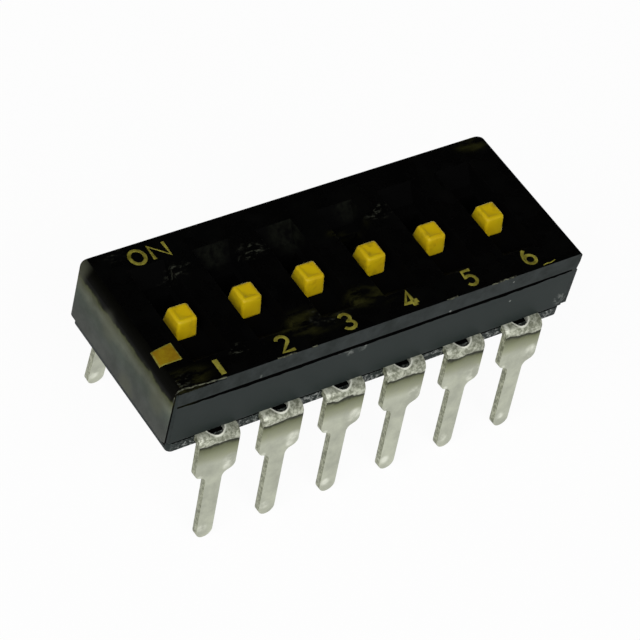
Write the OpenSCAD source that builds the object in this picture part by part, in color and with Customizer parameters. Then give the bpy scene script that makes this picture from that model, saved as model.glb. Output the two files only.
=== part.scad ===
// Six position slide actuated dual in-line switch, through-hole.
// Millimetres. +X runs along the row of switches, +Y points to the closed (ON) side, +Z is up.
// The origin lies under the middle of the body, at the level of the terminal tips.

/* [Array] */
// Number of switches in the row
positions = 6; // [2:1:9]
// Distance from one switch to the next
pitch = 2.54; // [2:0.01:3.2]
// Distance between the two rows of terminal tips
row_spacing = 7.62; // [7.3:0.01:9.2]

/* [Base] */
// Width of the body over its front and rear walls
body_width = 6.4; // [5.3:0.05:6.8]
// From the last switch's centre line to the end of the base
end_margin = 1.81; // [1.5:0.01:2.3]
// Height of the base walls above the terminals' top face
wall_height = 1.85; // [1.5:0.01:2.3]
// Plastic under the terminals
floor_skin = 0.21; // [0.15:0.01:0.5]
// Wall between two switches
divider = 0.5; // [0.3:0.01:0.7]
// Corner radius of the base walls, seen from above
base_corner = 0.05; // [0.02:0.01:0.3]
// Corner radius of the band under the walls, seen from above
band_corner = 0.2; // [0.1:0.01:0.4]
// Bevel along the underside at each end
band_bevel = 0.25; // [0.1:0.01:0.3]
// Height and depth of the groove between the walls and the band
band_groove = 0.06; // [0.03:0.01:0.1]

/* [Cover] */
// Height of the cover above the parting line
cover_plate = 0.715; // [0.59:0.005:1]
// How far the cover's plug reaches down into the base
plug_depth = 0.69; // [0.5:0.01:0.8]
// Thickness of the cover's end walls
end_wall = 0.2; // [0.12:0.01:0.4]
// How far the end walls stop above the terminals' top face
end_lift = 0.07; // [0:0.01:0.3]
// Radius along the top edge at each end
end_edge = 0.35; // [0.1:0.01:0.5]
// Corner radius of the cover, seen from above
cover_corner = 0.2; // [0.05:0.01:0.35]
// Set-back of the end walls' upright edges from the front and rear faces
setback = 0.03; // [0.01:0.01:0.2]
// Bevel along the parting line, on the cover and on the base
parting_bevel = 0.04; // [0.02:0.01:0.08]

/* [Recesses] */
// Length of each recess at the cover's top face
recess_length = 4.4; // [3.6:0.05:5.3]
// Width of each recess at the cover's top face
recess_width = 1.45; // [1.2:0.01:1.75]
// Depth of each recess
recess_depth = 0.6; // [0.4:0.01:0.72]
// Length of the slope at each end of a recess
end_slope = 0.54; // [0.2:0.01:0.65]
// How far each side wall of a recess leans out over its depth
side_slope = 0.08; // [0:0.01:0.12]

/* [Sliders] */
// Place of the slider in the open (OFF) position, from the body's middle
off_place = -0.23; // [-0.3:0.01:-0.1]
// Travel from the open to the closed position
travel = 0.9; // [0.7:0.01:1.1]
// Width of the knob, along the row
knob_width = 0.82; // [0.65:0.01:0.98]
// Length of the knob at its foot, along its travel
knob_foot = 1; // [0.8:0.01:1.2]
// Length of the knob at its top
knob_top = 0.78; // [0.6:0.01:0.78]
// How far the knob narrows to its top, on each side
knob_draft = 0.03; // [0:0.01:0.1]
// How far the knob stands out of the cover
knob_rise = 0.1; // [0.02:0.01:0.3]
// Bevel round the knob's top
knob_bevel = 0.05; // [0.02:0.01:0.1]
// Thickness of the slider's roof over its spring
roof = 0.21; // [0.15:0.01:0.3]
// Thickness of the slider's end walls, beside its spring
slider_wall = 0.2; // [0.12:0.01:0.3]
// Clearance all round a slider
running = 0.05; // [0.03:0.005:0.08]

/* [Contacts] */
// From the slider's middle to each foot of its spring
foot_reach = 0.5; // [0.4:0.01:0.6]
// Radius inside each foot of the spring
foot_radius = 0.14; // [0.1:0.01:0.18]
// How far the end of each foot turns up, in degrees
toe_turn = 100; // [60:5:120]
// Thickness of the spring strip
strip = 0.09; // [0.06:0.01:0.12]
// Width of the spring strip
strip_width = 1; // [0.8:0.01:1.15]
// Overlap of the front terminal behind the spring's rear foot when open
front_overlap = 0.13; // [0.08:0.01:0.2]
// Overlap of the rear terminal in front of the spring's rear foot when closed
rear_overlap = 0.27; // [0.15:0.01:0.32]
// Gap between the spring and what it touches
touch = 0.02; // [0.01:0.005:0.03]

/* [Terminals] */
// Thickness of the terminals
stock = 0.25; // [0.15:0.01:0.3]
// Height of the terminals' underside, where they leave the base
leg_height = 4.74; // [3.9:0.01:5.7]
// Reach of a terminal from the body's side to the outside of its bend
bend_reach = 0.4; // [0.33:0.01:0.48]
// Inside radius of the bend
bend_radius = 0.1; // [0.05:0.01:0.14]
// Width of the shoulder
shoulder_width = 1.6; // [1.3:0.01:1.8]
// Width of the pin, which ends in a half round tip
pin_width = 0.65; // [0.5:0.01:0.78]
// Length of the pin from its tip to the shoulder's curve
pin_length = 2.85; // [2.4:0.01:3.4]
// Radius of the two arcs that lead from the pin out to the shoulder
shoulder_round = 0.3; // [0.24:0.01:0.4]
// Diameter of the relief hole at the bend
relief_hole = 0.72; // [0.4:0.01:0.8]
// How far the relief hole's centre lies inside the body's side
relief_inset = 0.1; // [0:0.01:0.2]

/* [Hidden] */
$fn = 64;
// Small overlap that keeps neighbouring cuts clean
eps = 0.01;
// Slip fit between the cover and the base
slip = 0.02;

// Heights, from the terminal tips up
strip_top = leg_height + stock;
base_bottom = leg_height - floor_skin;
parting = strip_top + wall_height;
top = parting + cover_plate;
plug_bottom = parting - plug_depth;
end_foot = strip_top + end_lift;
recess_floor = top - recess_depth;
slider_top = plug_bottom - running;
slider_bottom = strip_top + 2 * running;
pocket_top = slider_top - roof;

// Lengths along the row
function place_x(k) = (k - (positions + 1) / 2) * pitch;
base_half = place_x(positions) + end_margin;
cover_half = base_half + slip + end_wall;
bay_width = pitch - divider;
well_half = place_x(positions) + bay_width / 2;
slider_width = bay_width - 2 * running;

// Lengths across the row
body_half = body_width / 2;
on_place = off_place + travel;
slot_front = off_place - knob_foot / 2 - running;
slot_rear = on_place + knob_foot / 2 + running;
pocket_half = foot_reach + foot_radius + strip + running;
slider_length = 2 * (pocket_half + slider_wall);
bay_half = max(-off_place, on_place) + slider_length / 2 + 2 * running;
front_pad_end = off_place + foot_reach + front_overlap;
rear_pad_start = on_place + foot_reach - rear_overlap;

// The terminal's bend and the slant of its leg, which ends at the row's own spacing
bend_outer = bend_radius + stock;
bend_y = body_half + bend_reach - bend_outer;
bend_z = strip_top - bend_outer;
leg_run = row_spacing / 2 - bend_y;
leg_slant = acos((bend_radius + stock / 2) / norm([leg_run, bend_z])) - atan2(bend_z, leg_run);

// The spring: two feet and an arch between them, each arc tangent to the next
foot_mid = foot_radius + strip / 2;
spring_rise = pocket_top - strip_top - 2 * touch - strip;
arch_over_foot = (spring_rise * spring_rise - foot_reach * foot_reach) / (2 * spring_rise);
arch_mid = spring_rise - arch_over_foot - foot_mid;
foot_z = strip_top + touch + foot_radius + strip;
arch_z = foot_z + arch_over_foot;
foot_lean = atan2(arch_over_foot, foot_reach);

// Rectangle with true round corners
module round_rect(half_x, half_y, r) {
    square([2 * (half_x - r), 2 * half_y], center = true);
    square([2 * half_x, 2 * (half_y - r)], center = true);
    for (sx = [-1, 1], sy = [-1, 1])
        translate([sx * (half_x - r), sy * (half_y - r)]) circle(r = r);
}

// Stands an outline drawn in Y and Z across the part, between two places along X
module across(x0, x1) {
    translate([x0, 0, 0]) rotate([90, 0, 90]) linear_extrude(x1 - x0) children();
}

// Stands an outline drawn in X and Z along the part, between two places along Y
module along(y0, y1) {
    translate([0, y1, 0]) rotate([90, 0, 0]) linear_extrude(y1 - y0) children();
}

// Ring piece between two angles, up to three quarters of a turn apart
module arc(r_in, r_out, from, to) {
    far = 3 * r_out;
    middle = (from + to) / 2;
    intersection() {
        difference() {
            circle(r = r_out);
            circle(r = r_in);
        }
        polygon([
            [0, 0],
            far * [cos(from), sin(from)],
            far * [cos(middle), sin(middle)],
            far * [cos(to), sin(to)]
        ]);
    }
}

// Side view of the cover: plate with rounded ends, and the end walls down to the terminals
module cover_side() {
    difference() {
        union() {
            translate([-cover_half, end_foot]) square([2 * cover_half, top - end_edge - end_foot]);
            translate([end_edge - cover_half, parting]) square([2 * (cover_half - end_edge), cover_plate]);
            for (s = [-1, 1])
                translate([s * (cover_half - end_edge), top - end_edge]) circle(r = end_edge);
        }
        translate([-base_half - slip, end_foot - eps])
            square([2 * (base_half + slip), parting - end_foot + eps]);
    }
}

// End view of the cover: full width above the parting line, set back below it
module cover_end() {
    polygon([
        [-body_half, top],
        [-body_half, parting + parting_bevel],
        [parting_bevel - body_half, parting],
        [body_half - parting_bevel, parting],
        [body_half, parting + parting_bevel],
        [body_half, top]
    ]);
    translate([setback - body_half, end_foot])
        square([2 * (body_half - setback), parting - end_foot + eps]);
}

// Recess round one knob, with sloping ends and leaning sides
module recess() {
    half_len = recess_length / 2;
    half_wid = recess_width / 2;
    side_rate = side_slope / recess_depth;
    end_rate = end_slope / recess_depth;
    intersection() {
        across(-half_wid - eps, half_wid + eps) polygon([
            [-half_len - eps * end_rate, top + eps],
            [end_slope - half_len, recess_floor],
            [half_len - end_slope, recess_floor],
            [half_len + eps * end_rate, top + eps]
        ]);
        along(-half_len - eps, half_len + eps) polygon([
            [-half_wid - eps * side_rate, top + eps],
            [side_slope - half_wid, recess_floor],
            [half_wid - side_slope, recess_floor],
            [half_wid + eps * side_rate, top + eps]
        ]);
    }
}

// Slot through a recess's floor, which the knob slides in
module knob_slot() {
    translate([-knob_width / 2 - running, slot_front, plug_bottom - eps])
        cube([knob_width + 2 * running, slot_rear - slot_front, recess_floor - plug_bottom + 2 * eps]);
}

module cover() {
    color("#1b1c1b") difference() {
        union() {
            intersection() {
                along(-body_half, body_half) cover_side();
                across(-cover_half, cover_half) cover_end();
                translate([0, 0, end_foot]) linear_extrude(top - end_foot)
                    round_rect(cover_half, body_half, cover_corner);
            }
            translate([running - well_half, running - bay_half, plug_bottom])
                cube([2 * (well_half - running), 2 * (bay_half - running), plug_depth + eps]);
        }
        for (k = [1:positions]) translate([place_x(k), 0, 0]) {
            recess();
            knob_slot();
        }
    }
}

// Channel that one terminal fills in the base's floor and wall
module terminal_channel(inner_y) {
    translate([-shoulder_width / 2, -body_half - eps, leg_height])
        cube([shoulder_width, body_half + eps + inner_y, stock]);
}

// Side view of the band under the base's walls, bevelled at each end
module band_side() {
    polygon([
        [band_bevel - base_half, base_bottom],
        [base_half - band_bevel, base_bottom],
        [base_half, base_bottom + band_bevel],
        [base_half, strip_top + eps],
        [-base_half, strip_top + eps],
        [-base_half, base_bottom + band_bevel]
    ]);
}

module base() {
    color("#3a4042") difference() {
        union() {
            translate([0, 0, strip_top]) linear_extrude(wall_height - parting_bevel)
                round_rect(base_half, body_half, base_corner);
            translate([0, 0, strip_top]) linear_extrude(wall_height)
                round_rect(base_half - parting_bevel, body_half - parting_bevel, base_corner);
            intersection() {
                union() {
                    translate([0, 0, base_bottom]) linear_extrude(strip_top - base_bottom - band_groove)
                        round_rect(base_half, body_half, band_corner);
                    translate([0, 0, base_bottom]) linear_extrude(strip_top - base_bottom + eps)
                        round_rect(base_half - band_groove, body_half - band_groove, band_corner);
                }
                along(-body_half, body_half) band_side();
            }
        }
        // One bay for each switch, under a common well for the cover's plug
        for (k = [1:positions])
            translate([place_x(k) - bay_width / 2, -bay_half, strip_top])
                cube([bay_width, 2 * bay_half, wall_height + eps]);
        translate([-well_half, -bay_half, slider_top])
            cube([2 * well_half, 2 * bay_half, parting - slider_top + eps]);
        for (k = [1:positions]) translate([place_x(k), 0, 0]) {
            terminal_channel(front_pad_end);
            mirror([0, 1, 0]) terminal_channel(-rear_pad_start);
        }
    }
}

// Knob outline seen along one axis: straight foot in the slot, then tapered to a bevelled top
module knob_outline(foot, head) {
    polygon([
        [-foot / 2, slider_top - eps],
        [-foot / 2, recess_floor],
        [-head / 2, top + knob_rise - knob_bevel],
        [knob_bevel - head / 2, top + knob_rise],
        [head / 2 - knob_bevel, top + knob_rise],
        [head / 2, top + knob_rise - knob_bevel],
        [foot / 2, recess_floor],
        [foot / 2, slider_top - eps]
    ]);
}

module actuator(k) {
    color("#d9b400") translate([place_x(k), off_place, 0]) {
        intersection() {
            across(-knob_width, knob_width) knob_outline(knob_foot, knob_top);
            along(-knob_foot, knob_foot) knob_outline(knob_width, knob_width - 2 * knob_draft);
        }
        // Slider block, hollow below for its spring
        difference() {
            translate([-slider_width / 2, -slider_length / 2, slider_bottom])
                cube([slider_width, slider_length, slider_top - slider_bottom]);
            translate([-strip_width / 2 - running, -pocket_half, slider_bottom - eps])
                cube([strip_width + 2 * running, 2 * pocket_half, pocket_top - slider_bottom + eps]);
        }
    }
}

// Contact spring: an arch between two rounded feet whose ends turn up
module spring_outline() {
    translate([0, arch_z])
        arc(arch_mid - strip / 2, arch_mid + strip / 2, -foot_lean, 180 + foot_lean);
    for (s = [0, 1]) mirror([s, 0]) translate([foot_reach, foot_z])
        arc(foot_radius, foot_radius + strip, 180 - foot_lean, 270 + toe_turn);
}

module contact_spring(k) {
    color("#c9a24a") translate([place_x(k), off_place, 0])
        across(-strip_width / 2, strip_width / 2) spring_outline();
}

// Side view of a front terminal: contact pad, bend and slanting leg
module terminal_side(inner_y) {
    leg = (bend_z + bend_outer) / cos(leg_slant) + bend_outer;
    translate([-bend_y, bend_z]) difference() {
        union() {
            circle(r = bend_outer);
            square([bend_y + inner_y, bend_outer]);
            rotate(-leg_slant) translate([-bend_outer, -leg]) square([bend_outer, leg]);
        }
        circle(r = bend_radius);
        translate([0, -bend_outer]) square([bend_y + inner_y + eps, bend_outer + bend_radius]);
        rotate(-leg_slant) translate([-bend_radius, -leg - eps])
            square([bend_radius + bend_outer, leg + eps]);
    }
}

// Front view of a terminal: round-ended pin, shoulder with an S curve on each side, and strip
module terminal_front() {
    inner_x = pin_width / 2 + shoulder_round;
    outer_x = shoulder_width / 2 - shoulder_round;
    step = shoulder_width / 2 - pin_width / 2;
    shoulder_z = pin_length + sqrt(4 * shoulder_round * step - step * step);
    translate([0, pin_width / 2]) circle(d = pin_width);
    translate([-pin_width / 2, pin_width / 2]) square([pin_width, shoulder_z]);
    translate([-shoulder_width / 2, shoulder_z])
        square([shoulder_width, strip_top - shoulder_z + eps]);
    for (s = [-1, 1]) translate([s * outer_x, shoulder_z]) circle(r = shoulder_round);
    difference() {
        polygon([
            [-inner_x, pin_length],
            [inner_x, pin_length],
            [outer_x, shoulder_z],
            [-outer_x, shoulder_z]
        ]);
        for (s = [-1, 1]) translate([s * inner_x, pin_length]) circle(r = shoulder_round);
    }
}

module terminal(inner_y) {
    color("#b9b7ad") difference() {
        intersection() {
            across(-shoulder_width / 2, shoulder_width / 2) terminal_side(inner_y);
            along(-row_spacing, body_width) terminal_front();
        }
        translate([0, relief_inset - body_half, leg_height - eps])
            cylinder(d = relief_hole, h = stock + 2 * eps);
    }
}

module front_terminal(k) {
    translate([place_x(k), 0, 0]) terminal(front_pad_end);
}

module rear_terminal(k) {
    translate([place_x(k), 0, 0]) mirror([0, 1, 0]) terminal(-rear_pad_start);
}

cover();
base();
for (k = [1:positions]) {
    actuator(k);
    contact_spring(k);
    front_terminal(k);
    rear_terminal(k);
}
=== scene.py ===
# %% [markdown]
# # A six position DIP switch
# This is a small slide switch for a circuit board: a shiny black cover over a slate base, six yellow sliders in
# sunk recesses, and two rows of flat tinned terminals. The CAD model fixes every size and place. This script
# models each visible piece again with softened edges, as a mould or a press leaves them, and gives it a finish.

# %% Load the fixed frame
import math
import random

import bmesh
import bpy
from mathutils import Matrix, Vector


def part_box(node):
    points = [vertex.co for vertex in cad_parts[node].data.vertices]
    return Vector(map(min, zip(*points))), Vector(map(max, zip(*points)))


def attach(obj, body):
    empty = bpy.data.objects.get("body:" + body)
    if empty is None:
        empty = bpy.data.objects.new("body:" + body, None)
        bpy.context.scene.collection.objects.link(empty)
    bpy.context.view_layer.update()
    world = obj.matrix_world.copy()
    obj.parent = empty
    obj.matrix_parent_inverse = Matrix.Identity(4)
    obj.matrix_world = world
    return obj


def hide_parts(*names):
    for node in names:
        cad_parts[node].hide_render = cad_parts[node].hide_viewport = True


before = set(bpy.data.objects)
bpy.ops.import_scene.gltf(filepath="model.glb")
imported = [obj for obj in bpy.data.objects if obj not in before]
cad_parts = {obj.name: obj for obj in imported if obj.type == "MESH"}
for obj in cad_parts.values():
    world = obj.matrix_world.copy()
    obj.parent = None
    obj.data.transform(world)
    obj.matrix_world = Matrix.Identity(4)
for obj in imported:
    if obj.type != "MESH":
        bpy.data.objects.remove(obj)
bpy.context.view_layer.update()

# %% [markdown]
# ## Working in millimetres
# The whole switch is 17 mm long, and most of its soft edges are about 0.03 mm wide. Blender's bevel and merge tools
# treat distances that small, in metres, as nothing. So each piece is modelled with one unit a millimetre, and it is
# shrunk to metres when it is finished. The places come from the frame's own boxes.

# %% Sizes from the frame
MM = 0.001
POSITIONS = range(1, 7)


def box_mm(node):
    """Lowest and highest corner of a CAD node, in millimetres."""
    return [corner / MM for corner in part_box(node)]


cover_low, cover_high = box_mm("cover")
base_low, base_high = box_mm("base")
FRONT_END = box_mm("front_terminal_1")[1].y
REAR_END = box_mm("rear_terminal_1")[0].y
STRIP_TOP = box_mm("front_terminal_1")[1].z
switch_x = [sum(corner.x for corner in box_mm(f"actuator_{k}")) / 2 for k in POSITIONS]
slider_low, slider_high = box_mm("actuator_1")
slider_y = (slider_low.y + slider_high.y) / 2
TOP = cover_high.z
PARTING = base_high.z
FIRST_X = switch_x[0]
PITCH = switch_x[1] - switch_x[0]
print("Switches at x =", [round(x, 2) for x in switch_x], "and sliders at y =", round(slider_y, 2))

# %% [markdown]
# ## Modelling helpers
# Blender's operators act on whatever is selected, so each helper starts by selecting nothing, or everything. Faces
# and edges are then picked by where they are, as an eye would pick them.

# %% Select, add and join
EXTRA = 0.5
HAIR = 0.001
RAGGED_CUTS = 80
SHARP = math.radians(35)
SMOOTH = math.radians(50)


def activate(piece):
    """Leaves one object selected and active."""
    bpy.ops.object.select_all(action="DESELECT")
    piece.select_set(True)
    bpy.context.view_layer.objects.active = piece


def edit(piece, kind="FACE", action="DESELECT"):
    """Enters edit mode with nothing selected, or with everything."""
    activate(piece)
    bpy.ops.object.mode_set(mode="EDIT")
    bpy.ops.mesh.select_mode(type=kind)
    bpy.ops.mesh.select_all(action=action)


def done():
    """Leaves edit mode."""
    bpy.ops.object.mode_set(mode="OBJECT")


def pick_faces(piece, test):
    """Selects the faces whose middle and normal pass the test."""
    form = bmesh.from_edit_mesh(piece.data)
    for face in form.faces:
        if test(face.calc_center_median(), face.normal):
            face.select_set(True)
    bmesh.update_edit_mesh(piece.data)


def pick_edges(piece, test, select=True):
    """Selects or deselects the edges whose two ends pass the test."""
    form = bmesh.from_edit_mesh(piece.data)
    for edge in form.edges:
        if test(edge.verts[0].co, edge.verts[1].co):
            edge.select_set(select)
    bmesh.update_edit_mesh(piece.data)


def add_block(name, low, high):
    """A box between two corners."""
    bpy.ops.object.select_all(action="DESELECT")
    low, high = Vector(low), Vector(high)
    bpy.ops.mesh.primitive_cube_add(size=1, location=(low + high) / 2, scale=high - low)
    block = bpy.context.object
    block.name = name
    bpy.ops.object.transform_apply(location=True, rotation=True, scale=True)
    return block


def apply_modifier(piece, kind, **settings):
    """Adds a modifier with its settings and applies it."""
    modifier = piece.modifiers.new(kind.lower(), kind)
    for name, value in settings.items():
        setattr(modifier, name, value)
    activate(piece)
    bpy.ops.object.modifier_apply(modifier=modifier.name)


def combine(piece, tool, operation):
    """Cuts, joins or crosses a piece with a tool, which is used up."""
    apply_modifier(piece, "BOOLEAN", object=tool, operation=operation, solver="EXACT")
    bpy.data.objects.remove(tool)


def cut_block(piece, low, high):
    """Cuts the box between two corners out of a piece."""
    combine(piece, add_block("block_tool", low, high), "DIFFERENCE")


def copy_of(piece, name, shift):
    """A copy with its own mesh, moved by a shift."""
    copy = piece.copy()
    copy.data = piece.data.copy()
    copy.name = name
    copy.data.name = name
    copy.data.transform(Matrix.Translation(shift))
    bpy.context.scene.collection.objects.link(copy)
    return copy


def round_upright_edges(block, radius, segments, keep_sharp=lambda corner: False):
    """Rounds the corners of a block, seen from above, apart from those that pass the test."""
    edit(block, "EDGE")
    pick_edges(block, lambda a, b: abs(a.x - b.x) < HAIR and abs(a.y - b.y) < HAIR and not keep_sharp(a))
    bpy.ops.mesh.bevel(offset=radius, segments=segments, affect="EDGES")
    done()


def soften(piece, width, segments=2, keep_sharp=None):
    """Rounds sharp edges a little, as a mould or a press does, apart from those that pass the test."""
    edit(piece, "EDGE", "SELECT")
    bpy.ops.mesh.remove_doubles(threshold=HAIR)
    bpy.ops.mesh.normals_make_consistent(inside=False)
    if bmesh.from_edit_mesh(piece.data).calc_volume(signed=True) < 0:
        bpy.ops.mesh.flip_normals()
    bpy.ops.mesh.select_all(action="DESELECT")
    bpy.ops.mesh.edges_select_sharp(sharpness=SHARP)
    if keep_sharp:
        pick_edges(piece, keep_sharp, select=False)
    bpy.ops.mesh.bevel(offset=width, segments=segments, affect="EDGES", miter_outer="ARC", clamp_overlap=True)
    done()


def add_ragged_block(name, low, high, ragged, seeded):
    """A cutting block along X whose lower edges rise and fall at random, but alike in front and behind."""
    block = add_block(name, low, high)
    edit(block, "EDGE")
    pick_edges(block, lambda a, b: abs(a.x - b.x) > HAIR)
    bpy.ops.mesh.subdivide(number_cuts=RAGGED_CUTS)
    form = bmesh.from_edit_mesh(block.data)
    lower = [corner.co for corner in form.verts if corner.co.z < high[2] - HAIR]
    lower.sort(key=lambda place: (round(place.x, 3), place.y))
    for in_front, behind in zip(lower[::2], lower[1::2]):
        in_front.z = behind.z = in_front.z + seeded.uniform(-ragged, ragged)
    bmesh.update_edit_mesh(block.data)
    done()
    return block


def to_metres(piece):
    """Shrinks a finished piece from millimetres to metres and smooths its rounded edges."""
    activate(piece)
    piece.data.transform(Matrix.Scale(MM, 4))
    bpy.ops.object.shade_smooth_by_angle(angle=SMOOTH)
    apply_modifier(piece, "WEIGHTED_NORMAL", keep_sharp=True)


def dress(piece, finishes, choose):
    """Gives a piece its finishes, and each face the one whose number is chosen from its middle and normal."""
    for finish in finishes:
        piece.data.materials.append(finish)
    for face in piece.data.polygons:
        face.material_index = choose(face.center, face.normal)


# %% [markdown]
# ## Material helpers
# A shader works in linear light, while colours are given as sRGB hex values, so one function turns one
# into the other. Another adds a node with its settings and its links. Patterns are sized in millimetres.

# %% Colour and node helpers
def linear(hex_colour):
    """Turns an sRGB hex colour into the linear colour that a shader takes."""
    shares = [int(hex_colour[start:start + 2], 16) / 255 for start in (1, 3, 5)]
    return [s / 12.92 if s <= 0.04045 else ((s + 0.055) / 1.055) ** 2.4 for s in shares] + [1.0]


def per(size_mm):
    """Texture scale at which one feature of a pattern is this long."""
    return 1 / (size_mm * MM)


def set_sockets(material, node, sockets):
    """Sets a node's inputs to values or hex colours, or links them to an output or to a node's first output in use."""
    for key, value in sockets.items():
        if isinstance(value, str):
            value = linear(value)
        if isinstance(value, bpy.types.Node):
            value = next(output for output in value.outputs if output.enabled)
        if isinstance(value, bpy.types.NodeSocket):
            material.node_tree.links.new(value, node.inputs[key])
        else:
            node.inputs[key].default_value = value


def add_node(material, kind, sockets=None, **options):
    """Adds a node with its options, its values and its links."""
    node = material.node_tree.nodes.new("ShaderNode" + kind)
    for name, value in options.items():
        setattr(node, name, value)
    set_sockets(material, node, sockets or {})
    return node


def new_material(name, **shader_values):
    """A node material and its Principled shader, with constants set on the shader's own sockets."""
    material = bpy.data.materials.new(name)
    material.use_nodes = True
    shader = material.node_tree.nodes["Principled BSDF"]
    set_sockets(material, shader, {key.replace("_", " "): value for key, value in shader_values.items()})
    return material, shader


# %% [markdown]
# ## Clouds and spots of wear
# Dirt, tarnish and gloss all come in clouds. A cloud is a noise whose features have a real size, and a Map Range
# stretches its middle values over the range that is wanted. Wear isn't even either: grease gathers where fingers
# press, and dust where a brush can't reach. So a cloud is often kept to a few spots. Each spot is a place in
# millimetres and a reach, and the mask is the nearest spot's.

# %% Clouds and masks
SPOT_CORE = 0.3


def add_cloud(material, point, size_mm, seen, spread=(0.0, 1.0), **settings):
    """A noise, and the same noise with the values seen stretched over a spread."""
    cloud = add_node(material, "TexNoise", {"Vector": point, "Scale": per(size_mm), **settings})
    stretched = add_node(material, "MapRange", {"Value": cloud, "From Min": seen[0], "From Max": seen[1],
                                                "To Min": spread[0], "To Max": spread[1]})
    return cloud, stretched


def spots_mask(material, point, spots, stretch=(1.0, 1.0, 1.0)):
    """How near a point is to the nearest of some spots, from 1 at its centre to 0 at its reach."""
    best = 0.0
    for *spot, reach in spots:
        away = add_node(material, "VectorMath", {0: point, 1: [-c * MM for c in spot]}, operation="ADD")
        pressed = add_node(material, "VectorMath", {0: away, 1: stretch}, operation="MULTIPLY")
        far = add_node(material, "VectorMath", {0: pressed}, operation="LENGTH")
        near = add_node(material, "MapRange", {"Value": far, "From Min": reach * MM,
                                               "From Max": SPOT_CORE * reach * MM}, interpolation_type="SMOOTHSTEP")
        best = add_node(material, "Math", {0: near, 1: best}, operation="MAXIMUM")
    return best


# %% Colour by height
def add_height_ramp(material, height, stops):
    """A colour that follows the height, from stops of a height in millimetres and a colour."""
    low, high = stops[0][0], stops[-1][0]
    level = add_node(material, "MapRange", {"Value": height, "From Min": low * MM, "From Max": high * MM})
    ramp = add_node(material, "ValToRGB", {"Fac": level})
    elements = ramp.color_ramp.elements
    while len(elements) < len(stops):
        elements.new(0.5)
    for element, (stop_z, colour) in zip(elements, stops):
        element.position = (stop_z - low) / (high - low)
        element.color = linear(colour)
    return ramp


# %% [markdown]
# ## Black cover plastic
# The cover is moulded in a glass-filled polyester, PBT. Its top is polished and reads as black, with an olive film
# of finger grease in streaks and a few pale scuffs. IOR 1.57 is typical of PBT.

# %% Moulded black PBT
PBT_IOR = 1.57
# The spot at the far right corner is partly a painted highlight on the rounded rim; the others are grease.
GREASE_AND_HIGHLIGHT_SPOTS = [(-2.6, -2.2, TOP, 1.3), (0.1, -1.9, TOP, 1.1), (-7.9, -2.8, TOP, 1.1), (8.2, 3.05, TOP, 1.1),
                (1.1, 1.1, TOP, 0.8)]
SCUFF_SPOTS = [(-5.6, 1.6, TOP, 0.7), (2.7, 1.3, TOP, 0.7), (-2.6, 1.4, TOP, 0.7), (-1.7, -2.1, TOP, 0.9),
               (-7.2, 2.95, TOP, 0.5), (-5.4, -2.3, TOP, 0.5), (3.7, -1.9, TOP, 0.6), (-8.0, -2.8, TOP, 0.6)]


def add_grime(material, place):
    """Black plastic with an olive film of grease in streaks and a few pale scuffs, as a colour."""
    streaks = add_node(material, "Mapping", {"Vector": place, "Rotation": (0, 0, 0.25), "Scale": (0.45, 1.3, 1)})
    smear = add_cloud(material, streaks, 0.5, (0.44, 0.68), Detail=5.0, Roughness=0.65)[1]
    pressed = add_node(material, "Math", {0: smear, 1: spots_mask(material, place, GREASE_AND_HIGHLIGHT_SPOTS, (0.7, 1.6, 0.7))},
                       operation="MULTIPLY")
    film = add_node(material, "Mix", {0: pressed, 6: "#020202", 7: "#292910"}, data_type="RGBA")
    scratches = add_node(material, "Mapping", {"Vector": place, "Rotation": (0, 0, 0.5), "Scale": (1, 2.2, 1)})
    marks = add_cloud(material, scratches, 0.3, (0.54, 0.7), Detail=4.0, Roughness=0.7)[1]
    rubs = add_node(material, "Math", {0: marks, 1: spots_mask(material, place, SCUFF_SPOTS, (0.8, 1.5, 0.8))},
                    operation="MULTIPLY")
    return add_node(material, "Mix", {0: rubs, 6: film, 7: "#3c3e35"}, data_type="RGBA")


def make_cover_plastic():
    material, shader = new_material("moulded_black_pbt", IOR=PBT_IOR, Specular_IOR_Level=0.16)
    place = add_node(material, "TexCoord").outputs["Object"]
    cloud, shine = add_cloud(material, place, 0.8, (0.3, 0.8), (0.2, 0.4), Detail=3.0, Roughness=0.6)
    bump = add_node(material, "Bump", {"Height": cloud, "Strength": 0.35, "Distance": 0.01 * MM})
    set_sockets(material, shader, {"Base Color": add_grime(material, place), "Roughness": shine, "Normal": bump})
    return material


cover_plastic = make_cover_plastic()
print("Made", cover_plastic.name)

# %% [markdown]
# ## End plastic with painted reflection
# The cover's ends come off a matt mould wall, so they mirror little, and their mottled grey is painted reflection of
# the pale floor.
# They are palest in an olive lip near the top, a painted reflection of the horizon on the rounded edge, and the edge
# over it is painted black as shade. So the colour follows the height in Object coordinates, which a slow cloud shifts
# up and down. A few spots are paler, and one on the far rounded corner is a painted glint.

# %% Black PBT with painted reflection
END_PALE_SPOTS_AND_GLINT = [(-8.38, -2.35, 6.4, 0.5), (-8.38, 0.9, 6.65, 0.5), (-8.3, 3.1, 7.2, 0.5), (-8.38, -0.6, 5.2, 0.5)]
END_LIGHT_AND_SHADE = [(5.2, "#494b48"), (5.8, "#464a46"), (6.3, "#474d46"), (6.65, "#575b50"), (6.8, "#525548"), (7.03, "#42452f"),
         (7.12, "#16180a"), (7.2, "#040402")]


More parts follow.
